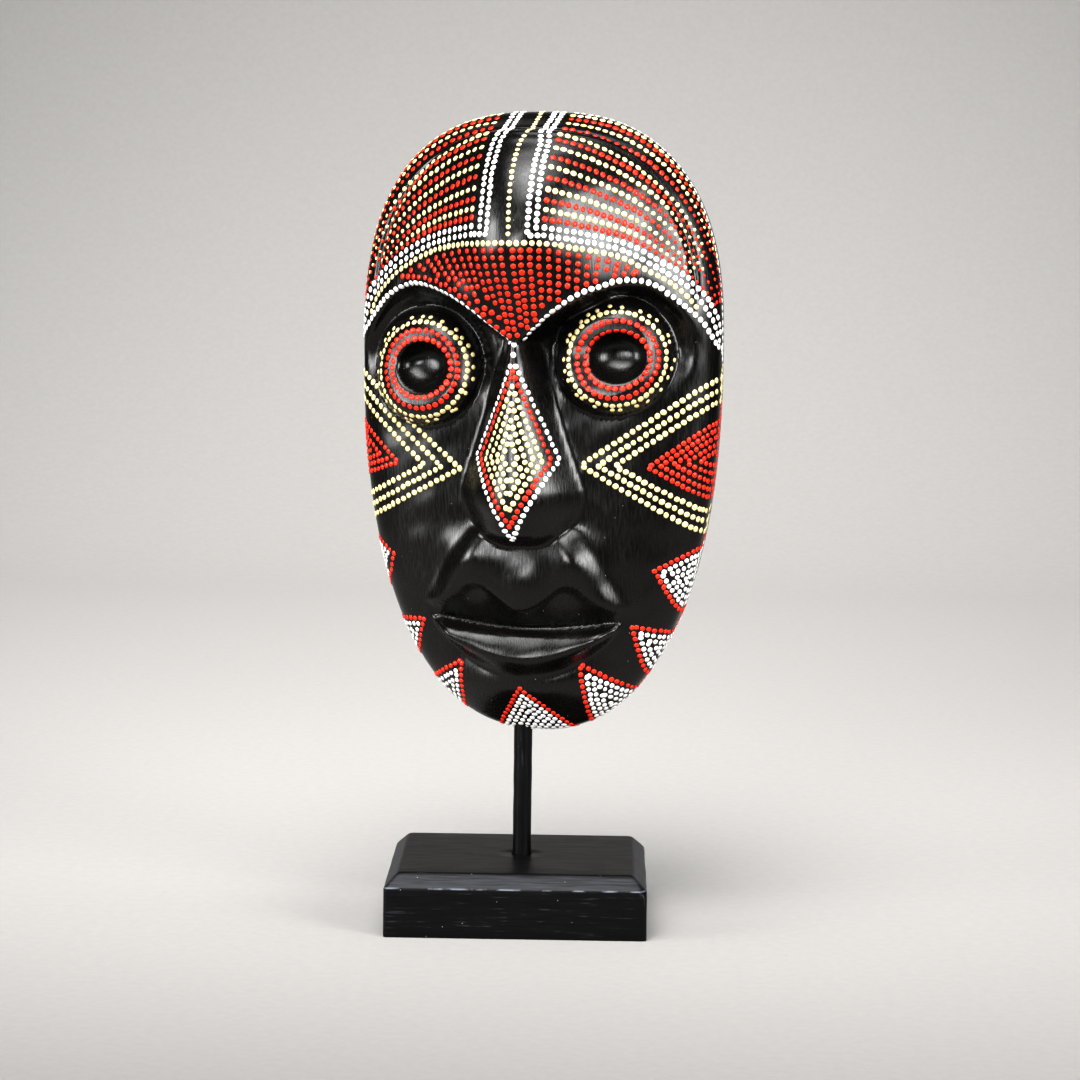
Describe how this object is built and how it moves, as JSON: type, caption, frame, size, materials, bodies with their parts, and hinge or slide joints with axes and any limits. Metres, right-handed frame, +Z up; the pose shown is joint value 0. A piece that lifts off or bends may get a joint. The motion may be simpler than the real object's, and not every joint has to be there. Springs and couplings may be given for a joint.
{
  "type": "wooden mask",
  "caption": "Oval carved wooden mask, lacquered black and painted with rows of red, cream and white dots, turned slightly on a round rod in a black chamfered wooden base",
  "frame": {"origin": "the middle of the stand base's underside", "axes": "+Z up along the rod; -Y towards the viewer, square to the base's front; +X to the viewer's right; the mask is turned 14 degrees towards -X"},
  "size_m": [0.193, 0.1271, 0.431],
  "materials": {
    "mask_lacquer": "carved wood under glossy black lacquer, painted with raised dots",
    "stand_paint": "wood under black satin paint, grain showing through"
  },
  "bodies": {
    "root": {"carved_mask": "mask_lacquer", "stand_rod": "stand_paint", "stand_base": "stand_paint"}
  },
  "joints": []
}
